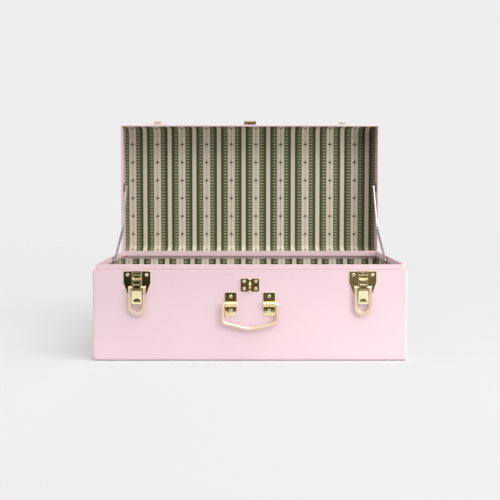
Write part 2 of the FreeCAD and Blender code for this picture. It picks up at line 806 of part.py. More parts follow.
stay_stud_x = neck_inner_x - stay_bracket_sheet
stay_face_x = stay_stud_x - stay_boss - stay_gap
stay_inner_x = stay_face_x - stay_sheet
pivot_closed = Vector(0, hinge_y - stay_pivot_forward, hinge_z + stay_pivot_lift)


def lean(angle, length):
    """Step down and forward by a length, at an angle below the level."""
    radians = math.radians(angle)
    return Vector(0, -length * math.cos(radians), -length * math.sin(radians))


def opened_point(point):
    """Where a point of the closed lid lies when the lid is open."""
    marker = turned_open(Part.Vertex(point))
    return Vector(marker.X, marker.Y, marker.Z)


pivot_open = opened_point(pivot_closed)
knee = pivot_open + lean(stay_upper_angle, stay_upper)
stud = knee + lean(stay_lower_angle, stay_lower)


def bar_between(start, end, width, x_low, x_high):
    """Flat bar with round ends between two points in the plane of the stay."""
    along = end - start
    block = Part.makeBox(x_high - x_low, along.Length, width, Vector(x_low, 0, -width / 2))
    block.rotate(Vector(0, 0, 0), X_AXIS, math.degrees(math.atan2(along.z, along.y)))
    block.translate(Vector(0, start.y, start.z))
    ends = [x_rod(x_low, x_high, point.y, point.z, width / 2) for point in (start, end)]
    return union([block] + ends)


def stay_arm():
    """Bent flat arm with a slot along both of its legs and a bore for its rivet."""
    arm = union([bar_between(pivot_open, knee, stay_width, stay_inner_x, stay_face_x),
                 bar_between(knee, stud, stay_width, stay_inner_x, stay_face_x)])
    slot_start = pivot_open + lean(stay_upper_angle, stay_slot_start)
    cut_low = stay_inner_x - overrun
    cut_high = stay_face_x + overrun
    slot = union([bar_between(slot_start, knee, stay_slot, cut_low, cut_high),
                  bar_between(knee, stud, stay_slot, cut_low, cut_high)])
    bore = x_rod(cut_low, cut_high, pivot_open.y, pivot_open.z, stay_rivet_radius + running_fit)
    return arm.cut([slot, bore])


def stay_lid_bracket():
    """Stepped bracket inside the lid end that carries the arm clear of the neck, closed."""
    wall_x = body_width / 2 - sheet
    tab_x = (stay_face_x + stay_gap, stay_face_x + stay_gap + stay_bracket_sheet)
    y, z = pivot_closed.y, pivot_closed.z
    shelf_low = z + stay_shelf_lift
    foot_y = (y - stay_foot_width / 2, y + stay_foot_width / 2)
    foot = box((wall_x - stay_bracket_sheet, wall_x), foot_y, (shelf_low, shelf_low + stay_foot_height))
    shelf = box((tab_x[0], wall_x), (y - stay_end, y + stay_end), (shelf_low, shelf_low + stay_bracket_sheet))
    tab = box(tab_x, (y - stay_end, y + stay_end), (z, shelf_low + stay_bracket_sheet))
    eye = x_rod(tab_x[0], tab_x[1], y, z, stay_end)
    hole = x_rod(tab_x[0] - overrun, tab_x[1] + overrun, y, z, stay_rivet_radius)
    return union([foot, shelf, tab, eye]).cut(hole)


def stay_rivet():
    """Headed rivet through the arm and the lid bracket, closed."""
    y, z = pivot_closed.y, pivot_closed.z
    head_x = stay_inner_x - stay_gap
    shank = x_rod(head_x, stay_face_x + stay_gap + stay_bracket_sheet, y, z, stay_rivet_radius)
    head = x_rod(head_x - stay_rivet_cap, head_x, y, z, stay_rivet_head)
    return union([head, shank])


def stay_body_bracket():
    """Plate on the inside of the neck with the stud that guides the slot."""
    top = rim_height - stay_bracket_top
    half = stay_bracket_width / 2
    plate = box((stay_stud_x, neck_inner_x), (stud.y - half, stud.y + half), (top - stay_bracket_drop, top))
    plate = round_edges(plate, latch_corner, edges_along(plate, X_AXIS))
    boss = x_rod(stay_stud_x - stay_boss, stay_stud_x, stud.y, stud.z, stay_rivet_radius)
    return union([plate, boss])


both_sides("stay_arm", stay_arm())
both_sides("stay_lid_bracket", turned_open(stay_lid_bracket()))
both_sides("stay_rivet", turned_open(stay_rivet()))
both_sides("stay_body_bracket", stay_body_bracket())


# Write one file per piece

os.makedirs("parts", exist_ok=True)
for name, shape in nodes.items():
    shape.exportStep(os.path.join("parts", name + ".step"))
    solids = len(shape.Solids)
    print(f"{name:26s} {solids:3d} solid(s)  {shape.Volume / 1000:9.2f} cm3  valid {shape.isValid()}")
print(len(nodes), "pieces written")
print("stay pivot", pivot_open, "knee", knee, "stud", stud)
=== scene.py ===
# %% [markdown]
# # A storage trunk, dressed for its picture
# The trunk itself comes from CAD as a imported frame: every sheet, hinge, latch and board is already there
# at its real size, in metres. This script gives each piece the surface that the real one has, adds the
# small things that are easier to make as meshes, and sets up floor, light and camera.

# %% Load the imported trunk
import json
import math

import bmesh
import bpy
from mathutils import Matrix, Vector


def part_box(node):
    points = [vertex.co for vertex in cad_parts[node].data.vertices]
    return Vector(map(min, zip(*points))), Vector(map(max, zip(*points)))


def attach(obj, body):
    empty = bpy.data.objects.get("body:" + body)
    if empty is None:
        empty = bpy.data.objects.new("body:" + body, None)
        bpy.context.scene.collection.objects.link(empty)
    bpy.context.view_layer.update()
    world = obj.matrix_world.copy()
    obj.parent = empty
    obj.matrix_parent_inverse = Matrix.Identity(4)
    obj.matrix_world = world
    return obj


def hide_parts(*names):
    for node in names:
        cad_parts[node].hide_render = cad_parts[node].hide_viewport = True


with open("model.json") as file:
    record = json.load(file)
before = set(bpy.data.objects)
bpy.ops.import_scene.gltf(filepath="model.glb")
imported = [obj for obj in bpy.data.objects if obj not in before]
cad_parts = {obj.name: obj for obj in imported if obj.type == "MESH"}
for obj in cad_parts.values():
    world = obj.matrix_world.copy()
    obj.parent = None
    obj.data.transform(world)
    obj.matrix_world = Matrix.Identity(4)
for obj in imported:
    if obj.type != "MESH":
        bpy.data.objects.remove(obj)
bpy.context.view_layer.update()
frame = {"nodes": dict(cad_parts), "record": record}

nodes = frame["nodes"]
joints = {joint["name"]: joint for joint in frame["record"]["behaviour"]["joints"]}

# %% [markdown]
# ## The camera
# The camera stands 1.3 m in front of the trunk, about level with the middle of the open lid. Its
# place was worked out from the lines of the picture: the underside, the seam, the rim behind it, the top
# of the lid, and the stripes of the lining, which get narrower down the lid by a measured share.
# The camera is tilted down a little, and for the rest the lens is shifted down, as with a studio camera,
# so that the upright edges stay nearly parallel. A longer lens further away would flatten the open lid.

# %% Camera
picture_width = 500
focal_pixels = 697.0
centre_row = 218.8
sensor_width = 36.0
camera_place = (0, -1.4685, 0.3279)
camera_pitch = math.radians(2.45)

camera_data = bpy.data.cameras.new("camera")
camera = bpy.data.objects.new("camera", camera_data)
bpy.context.scene.collection.objects.link(camera)
camera_data.sensor_width = sensor_width
camera_data.lens = focal_pixels * sensor_width / picture_width
camera_data.shift_y = centre_row / picture_width - 0.5
camera.location = camera_place
camera.rotation_euler = (math.pi / 2 - camera_pitch, 0, 0)
bpy.context.scene.camera = camera
bpy.context.scene.view_settings.view_transform = "Standard"
print("lens", round(camera_data.lens, 2), "mm, shift", round(camera_data.shift_y, 4))

# %% [markdown]
# ## Small helpers for materials
# A colour is written as the hex value that a paint chart or a picture editor gives. Blender's shaders
# add up light, so each value is turned to linear first. The second helper adds one node, sets its
# values and makes its links, so that a material reads as a list of steps. Where a step needs the result
# of an earlier one, the earlier node itself can be given, and its first output that is in use is taken.
# Patterns are laid out on Object coordinates, which stay with the piece when it moves.

# %% Colour and node helpers
def linear(code):
    """Linear colour with alpha from an sRGB hex value such as f3d3d8."""
    shares = [int(code[i:i + 2], 16) / 255 for i in (0, 2, 4)]
    return [c / 12.92 if c <= 0.04045 else ((c + 0.055) / 1.055) ** 2.4 for c in shares] + [1.0]


def add(tree, kind, inputs=None, **settings):
    """Add a node. inputs maps a socket's name or number to a value, an output or an earlier node."""
    node = tree.nodes.new(kind)
    for name, value in settings.items():
        setattr(node, name, value)
    for key, value in (inputs or {}).items():
        in_use = [socket for socket in node.inputs if socket.enabled]
        socket = in_use[key] if isinstance(key, int) else next(s for s in in_use if s.name == key)
        if isinstance(value, bpy.types.Node):
            value = next(output for output in value.outputs if output.enabled)
        if isinstance(value, bpy.types.NodeSocket):
            tree.links.new(value, socket)
        else:
            socket.default_value = value
    return node


def new_material(name):
    """Empty node material, its tree, and the node that gives places on the piece."""
    material = bpy.data.materials.new(name)
    material.use_nodes = True
    tree = material.node_tree
    tree.nodes.clear()
    return material, tree, add(tree, "ShaderNodeTexCoord").outputs["Object"]


def dress(material, names):
    """Give CAD nodes a material in place of the one they came with."""
    for name in names:
        slots = nodes[name].data.materials
        slots.clear()
        slots.append(material)
    print(material.name, "on", len(names), "pieces")


millimetres = 1000.0  # in a metre, so a noise of n mm has the scale millimetres / n
print("middle grey in linear light", round(linear("808080")[0], 3))

# %% [markdown]
# ## The paint
# The sheet steel is sprayed and baked in a pale pink. Baked enamel of this kind is nearly matt: it has a
# fine orange peel from the spray, a soft broad highlight, and slight drifts of tone where the coat is
# thicker. Each edge is painted a little paler than the flat: a painted highlight, which also stands for
# the coat drawing back from sharp folds as it bakes.
# Along the shoulder under the lid a greyer band is painted into the colour.
# Noise gives the peel and the drift. The edges are found with the Bevel node, which rounds the surface
# within a small radius: where the rounded direction leaves the true one, there is an edge.

# %% Where a surface has an edge
flat_agreement = 0.99  # cosine between the rounded and the true direction
edge_agreement = 0.75

def edge_share(tree, rounded):
    """0 on flat sheet, up to 1 on its edges, from a Bevel node."""
    true_direction = add(tree, "ShaderNodeNewGeometry").outputs["True Normal"]
    agreement = add(tree, "ShaderNodeVectorMath", {0: rounded.outputs[0], 1: true_direction},
                    operation="DOT_PRODUCT")
    return add(tree, "ShaderNodeMapRange", {
        "Value": agreement.outputs["Value"], "From Min": flat_agreement, "From Max": edge_agreement})


print("full edge at", round(math.degrees(math.acos(edge_agreement))), "degrees off the true direction")


# %% Baked enamel
peel_size = 3.0  # mm. Real orange peel is 1 to 2 mm, which is finer than a pixel of the picture.
peel_depth = 0.0004
drift_size = 140.0  # mm
pink_coat = "edd0d8"
pink_thick_coat = "f0d4db"
# paler pink painted on the edges: a painted highlight, which also stands for a thinner coat
pink_edge_highlight = "fbe6e8"
# greyer pink painted in a band along the shoulder
pink_shoulder_band = "dcbfc6"
edge_highlight_share = 0.2
fold_radius = 0.0007
shoulder_height = 0.173  # where the rim of the shut lid comes down
shoulder_band_half = 0.0022

def baked_enamel():
    """Pale pink baked enamel on sheet steel."""
    material, tree, place = new_material("baked_enamel")
    drift = add(tree, "ShaderNodeTexNoise", {
        "Vector": place, "Scale": millimetres / drift_size, "Detail": 3.0})
    tone = add(tree, "ShaderNodeMapRange", {
        "Value": drift.outputs["Fac"], "From Min": 0.35, "From Max": 0.65})
    coat = add(tree, "ShaderNodeMix", {
        "Factor": tone, "A": linear(pink_coat), "B": linear(pink_thick_coat)}, data_type="RGBA")
    rounded = add(tree, "ShaderNodeBevel", {"Radius": fold_radius}, samples=4)
    # Each edge painted paler: a painted highlight, also standing for a thinner coat
    edge_highlight = add(tree, "ShaderNodeMath", {0: edge_share(tree, rounded), 1: edge_highlight_share},
               operation="MULTIPLY")
    colour = add(tree, "ShaderNodeMix", {
        "Factor": edge_highlight, "A": coat, "B": linear(pink_edge_highlight)}, data_type="RGBA")
    height = add(tree, "ShaderNodeSeparateXYZ", {"Vector": place}).outputs["Z"]
    # A greyer band painted along the shoulder
    shoulder_band = add(tree, "ShaderNodeMath", {0: height, 1: shoulder_height, 2: shoulder_band_half},
                 operation="COMPARE")
    colour = add(tree, "ShaderNodeMix", {
        "Factor": shoulder_band, "A": colour, "B": linear(pink_shoulder_band)}, data_type="RGBA")
    peel = add(tree, "ShaderNodeTexNoise", {
        "Vector": place, "Scale": millimetres / peel_size, "Detail": 1.0})
    bump = add(tree, "ShaderNodeBump", {
        "Height": peel.outputs["Fac"], "Strength": 0.1, "Distance": peel_depth, "Normal": rounded})
    gloss = add(tree, "ShaderNodeMapRange", {"Value": drift.outputs["Fac"], "To Min": 0.38, "To Max": 0.5})
    paint = add(tree, "ShaderNodeBsdfPrincipled", {
        "Base Color": colour, "Roughness": gloss, "IOR": 1.5, "Normal": bump})
    add(tree, "ShaderNodeOutputMaterial", {"Surface": paint})
    return material


dress(baked_enamel(), ["base_wrapper", "base_end_left", "base_end_right", "lid_wrapper", "lid_end_left",
                       "lid_end_right"])

# %% [markdown]
# ## The lining paper
# The boards inside are covered with printed paper. It repeats a common stripe: a cream stripe with a
# stem of small four-petalled florets, a green stripe of a beaded band and a plain dark edge, then a
# plain pale stripe and the same green stripe turned round. The print is drawn from two distances, one
# across the stripes and one along them, both in millimetres, so it keeps its printed size on every
# board. A node group holds the drawing, because four papers use it with different distances.

# %% Measures of the print, in millimetres, and its inks
stripe_repeat = 59.1
cream_centre = 14.2
cream_half = 8.5
bead_edge = 19.3
dark_edge = 24.7
floret_pitch = 43.26
petal_reach = 2.5
petal_half = 1.5
bead_pitch = floret_pitch / 6
print_soft = 0.35
cream_tone = "ddd4c1"
pale_tone = "dad4be"
dark_green = "45452c"
band_green = "525738"
rung_green = "a3a684"
petal_brown = "30261d"
stem_brown = "7d7060"
print("pale stripe", round(stripe_repeat - 2 * dark_edge, 2), "mm wide")

# %% [markdown]
# ## The drawing of the print
# A picture of the print could be laid on, but it would blur close up, and each board would need it
# fitted. Drawn with nodes it stays sharp. PINGPONG folds a distance back and forth, so one half of a
# stripe or of a floret is enough. Each form is then a distance to its middle that is compared with its
# size, with a soft edge in between, because ink spreads a little in paper.

# %% Steps that draw an oval and lay one ink over another
def oval(tree, across, along):
    """Distance from the middle of an oval, from two distances that are already stretched to a circle."""
    flat = add(tree, "ShaderNodeCombineXYZ", {"X": across, "Y": along})
    return add(tree, "ShaderNodeVectorMath", {0: flat}, operation="LENGTH")


def printed_over(tree, ground, ink, distance, edge, soft=print_soft, cover=1.0):
    """Ground colour with an ink laid over it where a distance is under an edge, as softly as ink spreads."""
    share = add(tree, "ShaderNodeMapRange", {
        "Value": distance, "From Min": edge - soft, "From Max": edge + soft, "To Min": cover, "To Max": 0.0})
    return add(tree, "ShaderNodeMix", {"Factor": share, "A": ground, "B": ink}, data_type="RGBA")


print("ink spreads over", 2 * print_soft, "mm")


# %% The stripe as a node group
rung_reach = 2.2  # mm, as the other measures of the print, while a share stretches a distance
rung_length_share = 0.55
rung_width_share = 1.35
rung_soft = 0.7
petal_length_share = 0.62
petal_width_share = 1.25
stem_half = 0.9
stem_soft = 0.5
stem_cover = 0.55

def stripe_group():
    """Node group: millimetres across and along the stripes in, printed colour out."""
    tree = bpy.data.node_groups.new("stripe_print", "ShaderNodeTree")
    tree.interface.new_socket("Across", in_out="INPUT", socket_type="NodeSocketFloat")
    tree.interface.new_socket("Along", in_out="INPUT", socket_type="NodeSocketFloat")
    tree.interface.new_socket("Color", in_out="OUTPUT", socket_type="NodeSocketColor")
    given = add(tree, "NodeGroupInput")
    across = add(tree, "ShaderNodeMath", {0: given.outputs["Across"], 1: stripe_repeat / 2},
                 operation="PINGPONG")
    along = add(tree, "ShaderNodeMath", {0: given.outputs["Along"], 1: floret_pitch / 2},
                operation="PINGPONG")

    # The green stripe: light rungs with round ends on a green ground
    rung = add(tree, "ShaderNodeMath", {0: given.outputs["Along"], 1: bead_pitch / 2},
               operation="PINGPONG")
    rung = add(tree, "ShaderNodeMath", {0: rung, 1: rung_width_share}, operation="MULTIPLY")
    beside = add(tree, "ShaderNodeMath", {0: across, 1: (cream_half + bead_edge) / 2}, operation="SUBTRACT")
    beside = add(tree, "ShaderNodeMath", {0: beside, 1: rung_length_share}, operation="MULTIPLY")
    band = printed_over(tree, linear(band_green), linear(rung_green), oval(tree, beside, rung), rung_reach,
                        rung_soft)

    # The cream stripe: a faint stem, and a floret of four petals that nearly meet
    stem = printed_over(tree, linear(cream_tone), linear(stem_brown), across, stem_half, stem_soft,
                        stem_cover)
    side = add(tree, "ShaderNodeMath", {0: across, 1: petal_reach}, operation="SUBTRACT")
    side = add(tree, "ShaderNodeMath", {0: side, 1: petal_length_share}, operation="MULTIPLY")
    above = add(tree, "ShaderNodeMath", {0: along, 1: petal_reach}, operation="SUBTRACT")
    above = add(tree, "ShaderNodeMath", {0: above, 1: petal_length_share}, operation="MULTIPLY")
    slim_across = add(tree, "ShaderNodeMath", {0: across, 1: petal_width_share}, operation="MULTIPLY")
    slim_along = add(tree, "ShaderNodeMath", {0: along, 1: petal_width_share}, operation="MULTIPLY")
    upper_petal = oval(tree, slim_across, above)
    side_petal = oval(tree, side, slim_along)
    petals = add(tree, "ShaderNodeMath", {0: upper_petal, 1: side_petal}, operation="MINIMUM")
    cream = printed_over(tree, stem, linear(petal_brown), petals, petal_half)

    # From the pale stripe inwards, each wider stripe is covered by the next narrower one
    dark = printed_over(tree, linear(pale_tone), linear(dark_green), across, dark_edge)
    beaded = printed_over(tree, dark, band, across, bead_edge)
    add(tree, "NodeGroupOutput", {"Color": printed_over(tree, beaded, cream, across, cream_half)})
    return tree


stripe_print = stripe_group()
print("stripe group of", len(stripe_print.nodes), "nodes")

# %% [markdown]
# ## Paper on a board
# Uncoated paper is matt, and its fibres take the ink a little unevenly. One fine noise gives both, as a
# change of tone and as a shallow bump. What differs from board to board is only how the two distances
# are found, so these are handed in as functions. On a flat board each is a distance along one axis.

# %% Paper on a flat board
fibre_size = 2.0  # mm. Paper fibres are finer, and this is the finest that still shows.
fibre_depth = 0.0003
ink_thinnest = 0.94
ink_thickest = 1.05

def lining_paper(name, across, along):
    """Printed paper. across and along take the tree and the place, and give millimetres."""
    material, tree, place = new_material(name)
    figure = add(tree, "ShaderNodeGroup", node_tree=stripe_print)
    tree.links.new(across(tree, place), figure.inputs["Across"])
    tree.links.new(along(tree, place), figure.inputs["Along"])
    fibre = add(tree, "ShaderNodeTexNoise", {
        "Vector": place, "Scale": millimetres / fibre_size, "Detail": 3.0})
    worn = add(tree, "ShaderNodeMapRange", {
        "Value": fibre.outputs["Fac"], "From Min": 0.3, "From Max": 0.7, "To Min": ink_thinnest,
        "To Max": ink_thickest})
    ink = add(tree, "ShaderNodeVectorMath", {0: figure, "Scale": worn}, operation="SCALE")
    bump = add(tree, "ShaderNodeBump", {
        "Height": fibre.outputs["Fac"], "Strength": 0.12, "Distance": fibre_depth})
    paper = add(tree, "ShaderNodeBsdfPrincipled", {
        "Base Color": ink, "Roughness": 0.7, "IOR": 1.45, "Normal": bump})
    add(tree, "ShaderNodeOutputMaterial", {"Surface": paper})
    return material


def axis_distance(axis, zero):
    """Function that gives millimetres along an axis of the trunk from a place on it."""
    def steps(tree, place):
        split = add(tree, "ShaderNodeSeparateXYZ", {"Vector": place})
        return add(tree, "ShaderNodeMath", {0: split.outputs[axis], 1: millimetres, 2: -zero},
                   operation="MULTIPLY_ADD").outputs[0]
    return steps


across_trunk = axis_distance("X", cream_centre)
dress(lining_paper("lining_paper_long_walls", across_trunk, axis_distance("Z", 0.0)),
      ["lining_front", "lining_rear"])
dress(lining_paper("lining_paper_ends", axis_distance("Y", 0.0), axis_distance("Z", 0.0)),
      ["lining_left", "lining_right"])
dress(lining_paper("lining_paper_floor", across_trunk, axis_distance("Y", 0.0)), ["lining_floor"])

# %% [markdown]
# ## The bent lining of the lid
# The lining of the lid is one sheet that is bent round two corners. Its print runs on round them, so the
# distance along the stripes is found with the lid thought shut: across the top it is the distance from
# the middle, and down each skirt the drop below the top is added.

# %% Distance along the bent lining of the lid
hinge_place = Vector(joints["lid_hinge"]["pos_m"])
turn_to_shut = math.radians(joints["lid_hinge"]["range_deg"][1])
lining_above_hinge = 0.0548  # with the lid shut
floret_zero = 21.3  # mm from the middle of the lid to the first floret

def lid_along(tree, place):
    """Millimetres along the lid's lining, over front skirt, top and rear skirt."""
    moved = add(tree, "ShaderNodeVectorMath", {0: place, 1: -hinge_place}, operation="ADD")
    shut = add(tree, "ShaderNodeVectorRotate", {"Vector": moved, "Angle": turn_to_shut, "Axis": (1, 0, 0)},
               rotation_type="AXIS_ANGLE")
    split = add(tree, "ShaderNodeSeparateXYZ", {"Vector": shut})
    middle = add(tree, "ShaderNodeMath", {0: split.outputs["Y"], 1: hinge_place.y}, operation="ADD")
    side = add(tree, "ShaderNodeMath", {0: middle}, operation="SIGN")
    drop = add(tree, "ShaderNodeMath", {0: lining_above_hinge, 1: split.outputs["Z"]}, operation="SUBTRACT")
    drop = add(tree, "ShaderNodeMath", {0: drop, 1: 0.0}, operation="MAXIMUM")
    reach = add(tree, "ShaderNodeMath", {0: drop, 1: side, 2: middle}, operation="MULTIPLY_ADD")
    return add(tree, "ShaderNodeMath", {0: reach, 1: millimetres, 2: -floret_zero},
               operation="MULTIPLY_ADD").outputs[0]


dress(lining_paper("lining_paper_lid", across_trunk, lid_along), ["lid_lining"])

# %% [markdown]
# ## Brass plate and nickel plate
# The hardware is pressed steel with a bright brass plate. Plating follows the polish of the steel under
# it, so it mirrors its surroundings with a slight blur and a slight waviness, and it is a little duller in
# some places than in others. Most pressed edges are painted paler: a painted highlight, which also stands
# for rubbing.
# Real edges are never quite sharp. The Bevel node bends the light over them within about half a
# millimetre, which gives the thin bright outline of pressed metal without one more face.

# %% Plated metals
cloud_size = 16.0  # mm
wave_size = 4.5  # mm
wave_depth = 0.0005
pressed_edge_radius = 0.0006
# paler tone painted on pressed edges: a painted highlight, which also stands for rubbing
brass_edge_highlight = "fff4d8"

def plated_metal(name, bright, dull, smooth, rough, edges=brass_edge_highlight, lean=0.0, face_top=1.0,
                 face_front=1.0):
    """Electroplated metal: polish that comes and goes, shallow waves, edges painted in their own tone, as a
    painted highlight when paler and a painted shade when darker.

    lean is a slope forwards at the top that only the light sees, and that the solid does not have. It
    holds for what lies below face_top and in front of face_front, both in metres.
    """
    material, tree, place = new_material(name)
    cloud = add(tree, "ShaderNodeTexNoise", {
        "Vector": place, "Scale": millimetres / cloud_size, "Detail": 4.0})
    tone = add(tree, "ShaderNodeMapRange", {
        "Value": cloud.outputs["Fac"], "From Min": 0.3, "From Max": 0.7})
    plate = add(tree, "ShaderNodeMix", {
        "Factor": tone, "A": linear(dull), "B": linear(bright)}, data_type="RGBA")
    rounded = add(tree, "ShaderNodeBevel", {"Radius": pressed_edge_radius}, samples=6)
    # Edges painted in their own tone: a painted highlight when paler, a painted shade when darker
    colour = add(tree, "ShaderNodeMix", {
        "Factor": edge_share(tree, rounded), "A": plate, "B": linear(edges)}, data_type="RGBA")
    polish = add(tree, "ShaderNodeMapRange", {
        "Value": cloud.outputs["Fac"], "To Min": smooth, "To Max": rough})
    waves = add(tree, "ShaderNodeTexNoise", {
        "Vector": place, "Scale": millimetres / wave_size, "Detail": 2.0})
    bump = add(tree, "ShaderNodeBump", {
        "Height": waves.outputs["Fac"], "Strength": 0.06, "Distance": wave_depth, "Normal": rounded})
    if lean:
        split = add(tree, "ShaderNodeSeparateXYZ", {"Vector": place})
        on_face = add(tree, "ShaderNodeMath", {0: split.outputs["Y"], 1: face_front}, operation="LESS_THAN")
        height = add(tree, "ShaderNodeMath", {0: split.outputs["Z"], 1: face_top}, operation="MINIMUM")
        height = add(tree, "ShaderNodeMath", {0: height, 1: lean}, operation="MULTIPLY")
        height = add(tree, "ShaderNodeMath", {0: height, 1: on_face}, operation="MULTIPLY")
        bump = add(tree, "ShaderNodeBump", {
            "Height": height, "Strength": 1.0, "Distance": 1.0, "Normal": bump})
    metal = add(tree, "ShaderNodeBsdfPrincipled", {
        "Base Color": colour, "Metallic": 1.0, "Roughness": polish, "Normal": bump})
    add(tree, "ShaderNodeOutputMaterial", {"Surface": metal})
    return material


print("plating clouds over", cloud_size, "mm and waves over", wave_size, "mm")

# %% [markdown]
# ## The finish of each fitting
# Plates, housings and brackets are bright brass. The screws and the catches are paler, as from other
# baths. The bent bars are paler and pinker than the plates: a painted reflection of the pale table and
# the pink face. The staple is painted darker, most of all at its edges: a painted shade. The hasp is
# browner, as from handling. The stays are cooler and duller, like nickel plated strip, and their edges
# are painted dark: a painted shade, which also stands for bare sheared steel.
# In the picture the levers and the bent bars are bright where the plates are dark, as if they leant a
# little forwards at the top and mirrored the pale table. The solids stand upright, so a bump that grows
# with the height turns the light on them by 4 degrees. It is a guess, and bent faces would be truer.
# One function makes all finishes, because they differ only in tone, polish, edge and lean. First each
# brass piece gets the common finish, and then the special ones take its place.

# %% Finishes and the pieces that have them
face_lean = 0.07
lever_face_top = 0.1355  # m. The thumb end of a lever lies below this,
lever_face_front = -0.1565  # m, and in front of this.

brass = plated_metal("brass_plate", "fbeec0", "efdc9c", 0.01, 0.04)
lever_brass = plated_metal("brass_plate_levers", "fff6d0", "fdf0bc", 0.06, 0.14, lean=face_lean,
                           face_top=lever_face_top, face_front=lever_face_front)
# Loops and bail: paler and pinker than the plates, a painted reflection of the pale table and the pink face
wire_brass = plated_metal("brass_plate_wire", "fae4cc", "f0d6ba", 0.16, 0.26, lean=face_lean)
# Staple: painted darker, most at its edges, a painted shade
staple_brass = plated_metal("brass_plate_staple", "f6e4b4", "e6d092", 0.01, 0.04, edges="b89c68")
screw_brass = plated_metal("brass_plate_screws", "dcd6c0", "c0b89e", 0.06, 0.14)
catch_brass = plated_metal("brass_plate_catches", "e8dcc6", "d8cab2", 0.10, 0.20)
hasp_brass = plated_metal("brass_plate_handled", "a08a68", "7e6a4c", 0.12, 0.25, edges="c8b48c")
# Stays: edges painted dark, a painted shade which also stands for bare sheared steel
nickel = plated_metal("nickel_plate", "d0cacc", "bab6b8", 0.14, 0.24, edges="4c4a50")

of_slot = {}
for row in frame["record"]["subparts"]:
    of_slot.setdefault(row["material_slot"], []).append(row["node"])
dress(brass, of_slot["brass"])
dress(lever_brass, ["latch_lever_left", "latch_lever_right"])
dress(wire_brass, ["latch_loop_left", "latch_loop_right", "handle_bail"])
dress(catch_brass, ["latch_catch_left", "latch_catch_right"])
dress(staple_brass, ["staple_plate"])
dress(hasp_brass, ["hasp_leaf", "hasp_pin", "hasp_strap"])
dress(nickel, of_slot["stay_steel"])

# %% [markdown]
# ## One screw head
# Latches, catches, staple, hasp and handle are held by brass-plated screws with a domed head and a cross
# recess. In CAD they are plain domes. Here one head is made in full: a half ball is flattened to a dome,
# and a cross is cut out of it with a Boolean modifier. A bump could only shade the cross, and this one
# is a real hollow.

# %% One screw head with its cross recess
head_radius = 0.0033
head_rise = 0.0010
head_segments = 28
recess_length = 0.0034
recess_width = 0.0008
recess_depth = 0.0007

def object_from(name, mesh_in_work):
    """Turn a bmesh into an object in the scene."""
    data = bpy.data.meshes.new(name)
    mesh_in_work.to_mesh(data)
    mesh_in_work.free()
    made = bpy.data.objects.new(name, data)
    bpy.context.scene.collection.objects.link(made)
    return made


def cross_head():
    """Mesh of a domed head on the origin that faces up, with a cross recess."""
    dome = bmesh.new()
    bmesh.ops.create_uvsphere(dome, u_segments=head_segments, v_segments=head_segments // 2,
                              radius=head_radius)
    bmesh.ops.scale(dome, vec=(1, 1, head_rise / head_radius), verts=dome.verts)
    cut = bmesh.ops.bisect_plane(dome, geom=dome.verts[:] + dome.edges[:] + dome.faces[:],
                                 plane_co=(0, 0, 0), plane_no=(0, 0, -1), clear_outer=True)
    rim = [e for e in cut["geom_cut"] if isinstance(e, bmesh.types.BMEdge)]
    bmesh.ops.contextual_create(dome, geom=rim)
    bmesh.ops.recalc_face_normals(dome, faces=dome.faces)
    head = object_from("head_dome", dome)
    cross = bmesh.new()
    for turn in (0, math.pi / 2):
        bar = bmesh.ops.create_cube(cross, size=1.0)["verts"]
        bmesh.ops.scale(cross, vec=(recess_length, recess_width, 2 * recess_depth), verts=bar)
        bmesh.ops.rotate(cross, cent=(0, 0, 0), matrix=Matrix.Rotation(turn, 3, "Z"), verts=bar)
        bmesh.ops.translate(cross, vec=(0, 0, head_rise), verts=bar)
    cutter = object_from("head_cross", cross)
    cut_out = head.modifiers.new("recess", "BOOLEAN")
    cut_out.operation = "DIFFERENCE"
    cut_out.object = cutter
    cut_out.use_self = True
    settled = head.evaluated_get(bpy.context.evaluated_depsgraph_get())
    mesh = bpy.data.meshes.new_from_object(settled)
    bpy.data.objects.remove(head)
    bpy.data.objects.remove(cutter)
    return mesh


head_mesh = cross_head()
print("screw head of", len(head_mesh.polygons), "faces")

# %% [markdown]
# ## The screws of each fitting
# The same head is copied to each place. The places are read off the CAD node, so the screws stay where
# the holes are: corners that stand close together belong to one screw, and the middle of its crown is
# where the head goes. The new piece takes the place of the whole node.

# %% Where the heads of a CAD group are
one_screw = 3 * head_radius  # corners nearer to each other than this are of one screw

def screw_places(name, outwards):
    """Middle of the underside of each head in a CAD node, from its corners grouped by place."""
    screws = {}
    for corner in nodes[name].data.vertices:
        level = corner.co.dot(outwards)
        flat = corner.co - outwards * level
        key = next((k for k in screws if (k - flat).length < one_screw), None)
        if key is None:
            screws[flat.freeze()] = [(level, flat)]
        else:
            screws[key].append((level, flat))
    places = []
    for corners in screws.values():
        top = max(level for level, flat in corners)
        crown = [flat for level, flat in corners if level > top - head_rise]
        middle = [min(c[i] for c in crown) + max(c[i] for c in crown) for i in range(3)]
        places.append(Vector(middle) / 2 + outwards * (top - head_rise))
    return places


forwards = Vector((0, -1, 0))
upwards = Vector((0, 0, 1))
print("a latch screw stands at", [round(v, 4) for v in screw_places("latch_screws", forwards)[0]])


# %% Screws in the place of each CAD group
first_turn = 0.5  # radians. A screw stops at any angle, so no two crosses stand alike.
turn_between = 1.3
crease_angle = math.radians(35)

